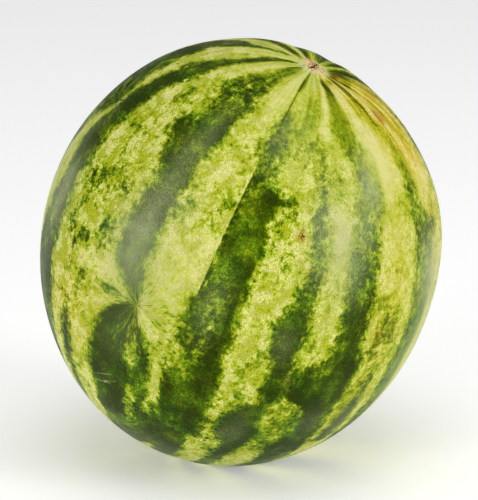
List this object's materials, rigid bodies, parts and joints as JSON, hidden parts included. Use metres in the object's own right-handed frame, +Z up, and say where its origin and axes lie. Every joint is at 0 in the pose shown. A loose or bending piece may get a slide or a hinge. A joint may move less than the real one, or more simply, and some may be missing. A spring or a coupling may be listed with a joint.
{
  "type": "watermelon",
  "caption": "Whole round watermelon with striped rind, a corky stem scar in a shallow basin, a navel and healed puckers, resting on a small flat spot.",
  "frame": {"origin": "middle of the small flat spot that the fruit rests on, almost under its centre of mass", "axes": "+Z is up from the resting surface; -Y is the front, where the large healed pucker shows at the left; the stem end leans 22 degrees from +Z towards +X and slightly towards the front"},
  "size_m": [0.2433, 0.2387, 0.2584],
  "materials": {
    "rind": "satin"
  },
  "bodies": {
    "root": {"watermelon": "rind"}
  },
  "joints": []
}
